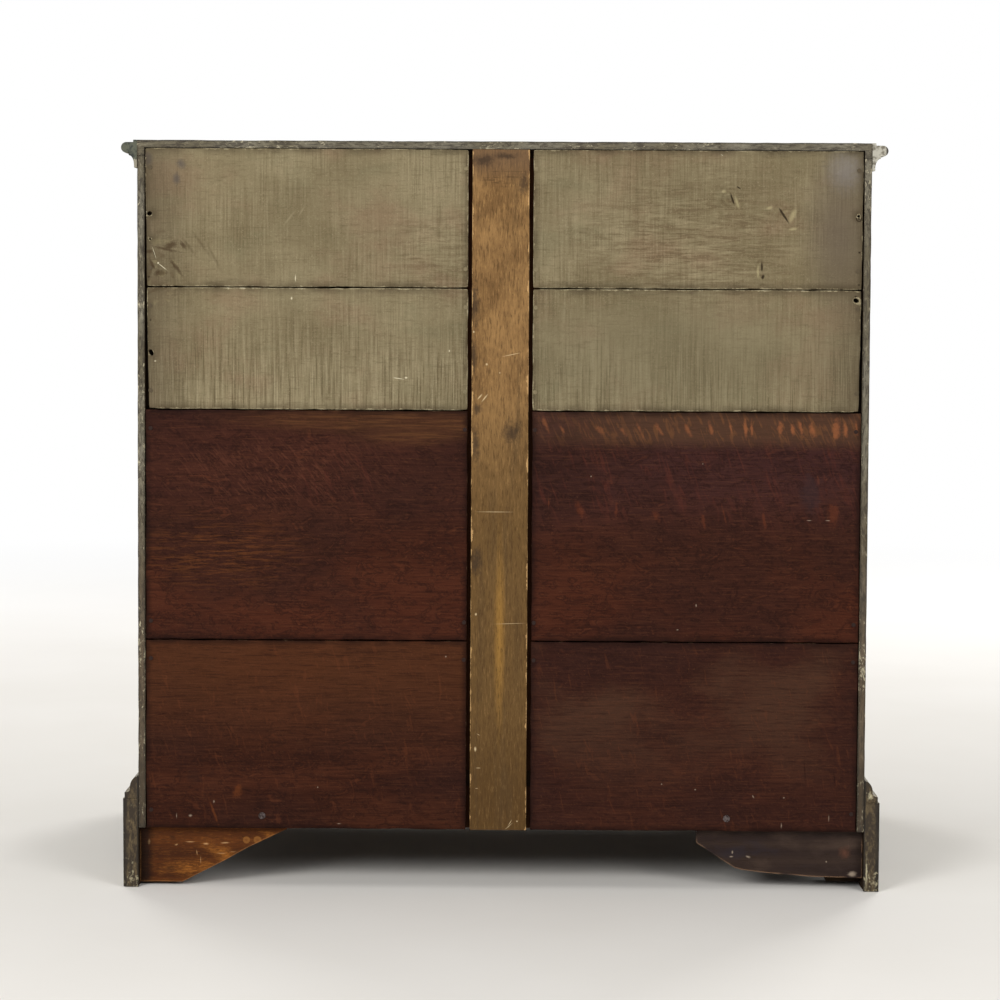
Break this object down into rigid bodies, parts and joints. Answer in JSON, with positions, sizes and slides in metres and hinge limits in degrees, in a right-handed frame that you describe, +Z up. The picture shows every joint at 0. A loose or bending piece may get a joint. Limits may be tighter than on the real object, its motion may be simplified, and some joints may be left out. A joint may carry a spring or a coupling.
{
  "type": "chest of drawers",
  "caption": "Old painted chest with short drawers over long graduated ones, brass bail handles, moulded top and base, bracket feet and a boarded back.",
  "frame": {"origin": "centre of the bounding box at floor level", "axes": "+Z up; the drawers open towards -Y; +X is the right-hand side seen from the front"},
  "size_m": [0.992, 0.5268, 0.976],
  "materials": {
    "painted_wood": "old olive-grey paint, rubbed to cream and bare wood along its edges",
    "drawer_fronts": "old olive-grey paint outside, bare oak inside",
    "painted_backboards": "thin olive-grey paint over saw marks",
    "stained_backboards": "dark red-brown stained oak",
    "muntin_wood": "golden-brown oak, dry",
    "left_bracket_wood": "dark grey-brown, dull",
    "right_bracket_wood": "reddish-brown, dull",
    "carcase_wood": "bare oak, dusty brown",
    "drawer_wood": "bare oak, dry",
    "brass": "aged, rubbed bright on the grips",
    "iron": "dark, slightly rusty"
  },
  "bodies": {
    "carcase": {"top_board": "painted_wood", "left_side": "painted_wood", "right_side": "painted_wood", "bottom_board": "carcase_wood", "front_rails": "painted_wood", "drawer_partition": "painted_wood", "drawer_runners": "carcase_wood", "drawer_kickers": "carcase_wood", "dust_boards": "carcase_wood", "top_moulding_front": "painted_wood", "top_moulding_left": "painted_wood", "top_moulding_right": "painted_wood", "base_moulding_front": "painted_wood", "base_moulding_left": "painted_wood", "base_moulding_right": "painted_wood", "plinth_front": "painted_wood", "plinth_left": "painted_wood", "plinth_right": "painted_wood", "left_rear_bracket": "left_bracket_wood", "right_rear_bracket": "right_bracket_wood", "foot_blocks": "carcase_wood", "left_upper_backboards": "painted_backboards", "left_lower_backboards": "stained_backboards", "right_upper_backboards": "painted_backboards", "right_lower_backboards": "stained_backboards", "back_muntin": "muntin_wood", "back_fixings": "iron"},
    "top_left_drawer": {"top_left_drawer_front": "drawer_fronts", "top_left_drawer_sides": "drawer_wood", "top_left_drawer_back": "drawer_wood", "top_left_drawer_bottom": "drawer_wood", "top_left_handle_posts": "brass"},
    "top_right_drawer": {"top_right_drawer_front": "drawer_fronts", "top_right_drawer_sides": "drawer_wood", "top_right_drawer_back": "drawer_wood", "top_right_drawer_bottom": "drawer_wood", "top_right_handle_posts": "brass"},
    "upper_drawer": {"upper_drawer_front": "drawer_fronts", "upper_drawer_sides": "drawer_wood", "upper_drawer_back": "drawer_wood", "upper_drawer_bottom": "drawer_wood", "upper_handle_posts": "brass"},
    "middle_drawer": {"middle_drawer_front": "drawer_fronts", "middle_drawer_sides": "drawer_wood", "middle_drawer_back": "drawer_wood", "middle_drawer_bottom": "drawer_wood", "middle_handle_posts": "brass"},
    "lower_drawer": {"lower_drawer_front": "drawer_fronts", "lower_drawer_sides": "drawer_wood", "lower_drawer_back": "drawer_wood", "lower_drawer_bottom": "drawer_wood", "lower_handle_posts": "brass"},
    "top_left_bail": {"top_left_bail": "brass"},
    "top_right_bail": {"top_right_bail": "brass"},
    "upper_left_bail": {"upper_left_bail": "brass"},
    "upper_right_bail": {"upper_right_bail": "brass"},
    "middle_left_bail": {"middle_left_bail": "brass"},
    "middle_right_bail": {"middle_right_bail": "brass"},
    "lower_left_bail": {"lower_left_bail": "brass"},
    "lower_right_bail": {"lower_right_bail": "brass"}
  },
  "joints": [
    {"name": "top_left_drawer_slide", "type": "slide", "parent": "carcase", "child": "top_left_drawer", "axis": [0, -1, 0], "range_m": [0, 0.38]},
    {"name": "top_right_drawer_slide", "type": "slide", "parent": "carcase", "child": "top_right_drawer", "axis": [0, -1, 0], "range_m": [0, 0.38]},
    {"name": "upper_drawer_slide", "type": "slide", "parent": "carcase", "child": "upper_drawer", "axis": [0, -1, 0], "range_m": [0, 0.38]},
    {"name": "middle_drawer_slide", "type": "slide", "parent": "carcase", "child": "middle_drawer", "axis": [0, -1, 0], "range_m": [0, 0.38]},
    {"name": "lower_drawer_slide", "type": "slide", "parent": "carcase", "child": "lower_drawer", "axis": [0, -1, 0], "range_m": [0, 0.38]},
    {"name": "top_left_bail_hinge", "type": "hinge", "parent": "top_left_drawer", "child": "top_left_bail", "pos_m": [-0.234, -0.2579, 0.862], "axis": [-1, 0, 0], "range_deg": [-18, 198]},
    {"name": "top_right_bail_hinge", "type": "hinge", "parent": "top_right_drawer", "child": "top_right_bail", "pos_m": [0.234, -0.2579, 0.862], "axis": [-1, 0, 0], "range_deg": [-18, 198]},
    {"name": "upper_left_bail_hinge", "type": "hinge", "parent": "upper_drawer", "child": "upper_left_bail", "pos_m": [-0.234, -0.2579, 0.6885], "axis": [-1, 0, 0], "range_deg": [-18, 198]},
    {"name": "upper_right_bail_hinge", "type": "hinge", "parent": "upper_drawer", "child": "upper_right_bail", "pos_m": [0.234, -0.2579, 0.6885], "axis": [-1, 0, 0], "range_deg": [-18, 198]},
    {"name": "middle_left_bail_hinge", "type": "hinge", "parent": "middle_drawer", "child": "middle_left_bail", "pos_m": [-0.234, -0.2579, 0.49], "axis": [-1, 0, 0], "range_deg": [-18, 198]},
    {"name": "middle_right_bail_hinge", "type": "hinge", "parent": "middle_drawer", "child": "middle_right_bail", "pos_m": [0.234, -0.2579, 0.49], "axis": [-1, 0, 0], "range_deg": [-18, 198]},
    {"name": "lower_left_bail_hinge", "type": "hinge", "parent": "lower_drawer", "child": "lower_left_bail", "pos_m": [-0.234, -0.2579, 0.2635], "axis": [-1, 0, 0], "range_deg": [-18, 198]},
    {"name": "lower_right_bail_hinge", "type": "hinge", "parent": "lower_drawer", "child": "lower_right_bail", "pos_m": [0.234, -0.2579, 0.2635], "axis": [-1, 0, 0], "range_deg": [-18, 198]}
  ]
}
